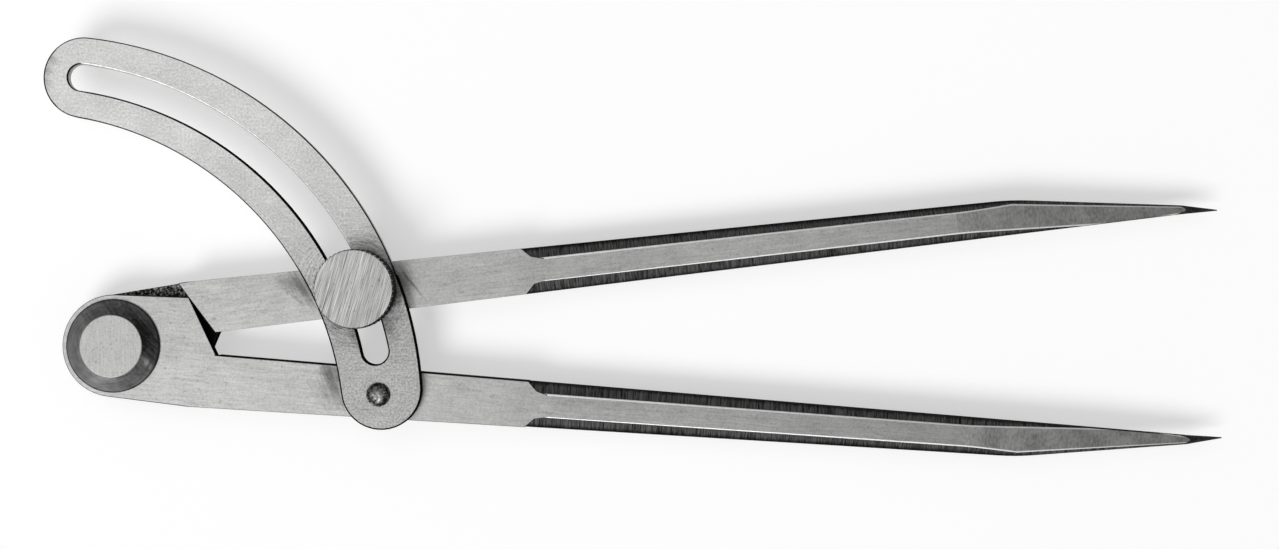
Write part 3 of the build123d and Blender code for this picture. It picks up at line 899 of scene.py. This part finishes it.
class DIVIDER_OT_stage(Operator):
    """Lay out the bench, the lamps and the camera over the divider"""
    bl_idname = "divider.stage"
    bl_label = "Stage"

    def execute(self, context):
        colours = context.scene.divider_colours
        deselect_all()
        bpy.ops.mesh.primitive_plane_add(size=8.0, location=(0.1, 0, -0.02 * MM))
        bench = bpy.context.object
        bench.name = bench.data.name = "bench"
        bpy.ops.object.transform_apply(location=True)
        bench.data.materials.append(white_bench("matt_white_laminate", colours.bench, lift=0.49))
        self.lamp("key_lamp", "SUN", power=1.95, place=(-0.62, -0.9, 1.3), angle=radians(28))
        self.lamp("top_lamp", "AREA", power=3.3, place=(-0.33, 0.03, 0.9), target=(-0.33, 0.03, 0.0), size=(1.3, 1.1))
        self.room(context)
        self.camera(context)
        context.scene.view_settings.view_transform = "Standard"
        return {"FINISHED"}

    @staticmethod
    def room(context):
        """A pale room, white to the camera. Its light is brighter from the side of the key lamp, and metal mirrors a
        band of pale wall between a dark foot and a dark ceiling."""
        dim, bright = 0.11, 0.34
        world = bpy.data.worlds.new("pale_room")
        world.use_nodes = True
        tree = world.node_tree
        tree.nodes.clear()
        towards = add_node(tree, "TexCoord").outputs["Generated"]
        side = add_node(tree, "VectorMath", [towards, (-0.75, -0.66, 0.0)], operation="DOT_PRODUCT").outputs["Value"]
        level = add_node(tree, "ValToRGB", [layered(tree, (side, -1.0, 1.0, 0.0, 1.0))],
                         stops=[(0.0, dim), (1.0, bright), (0.5, 0.22)])
        height = add_node(tree, "SeparateXYZ", [towards]).outputs["Z"]
        walls = add_node(tree, "ValToRGB", [height], stops=[(0.06, 0.0), (0.84, 0.0), (0.32, 1.0), (0.66, 1.0)])
        glow = toned(tree, walls, (level, dim, bright, 0.5, 0.73))
        path = add_node(tree, "LightPath").outputs
        mirrored = add_node(tree, "Math", [glow, path["Is Glossy Ray"], level], operation="MULTIPLY_ADD")
        strength = add_node(tree, "Math", [mirrored, path["Is Camera Ray"]], operation="MAXIMUM")
        sky = add_node(tree, "Background", {"Strength": strength})
        add_node(tree, "OutputWorld", [sky])
        context.scene.world = world

    @staticmethod
    def lamp(name, kind, power, place, target=(0.0, 0.0, 0.0), angle=None, size=None):
        """A lamp at a place, turned to its target."""
        data = bpy.data.lights.new(name, kind)
        data.energy = power
        if angle is not None:
            data.angle = angle
        if size is not None:
            data.shape = "RECTANGLE"
            data.size, data.size_y = size
        lamp = bpy.data.objects.new(name, data)
        lamp.location = place
        lamp.rotation_euler = (Vector(target) - Vector(place)).to_track_quat("-Z", "Y").to_euler()
        bpy.context.scene.collection.objects.link(lamp)

    @staticmethod
    def camera(context):
        """A camera square over the divider, 400 mm above its face, turned as the photograph is."""
        data = bpy.data.cameras.new("camera")
        data.lens = 52.36
        data.sensor_width = 36.0
        data.clip_start = 0.01
        camera = bpy.data.objects.new("camera", data)
        camera.location = (113.39 * MM, 13.14 * MM, 408.25 * MM)
        camera.rotation_euler = (0, 0, radians(-1.11))
        context.scene.collection.objects.link(camera)
        context.scene.camera = camera


class DIVIDER_PT_panel(Panel):
    """Lists the divider's steps, sizes and colours"""
    bl_idname = "DIVIDER_PT_panel"
    bl_label = "Bow divider"
    bl_space_type = "VIEW_3D"
    bl_region_type = "UI"
    bl_category = "Divider"

    def draw(self, context):
        for step in STEPS:
            self.layout.operator(step.bl_idname)
        for group in (context.scene.divider_sizes, context.scene.divider_colours):
            box = self.layout.box()
            for name in group.__annotations__:
                box.prop(group, name)


STEPS = (DIVIDER_OT_legs, DIVIDER_OT_hinge, DIVIDER_OT_arc, DIVIDER_OT_rivet, DIVIDER_OT_screw, DIVIDER_OT_stage)


def register():
    """Registers the classes and hangs the settings on the scene."""
    for cls in (DividerSizes, DividerColours, *STEPS, DIVIDER_PT_panel):
        bpy.utils.register_class(cls)
    bpy.types.Scene.divider_sizes = PointerProperty(type=DividerSizes)
    bpy.types.Scene.divider_colours = PointerProperty(type=DividerColours)


def unregister():
    """Takes the settings and the classes away again."""
    del bpy.types.Scene.divider_colours
    del bpy.types.Scene.divider_sizes
    for cls in reversed((DividerSizes, DividerColours, *STEPS, DIVIDER_PT_panel)):
        bpy.utils.unregister_class(cls)


def main():
    """Runs the steps in order."""
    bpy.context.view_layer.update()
    register()
    for step in STEPS:
        group, name = step.bl_idname.split(".")
        getattr(getattr(bpy.ops, group), name)()


if __name__ == "__main__":
    main()
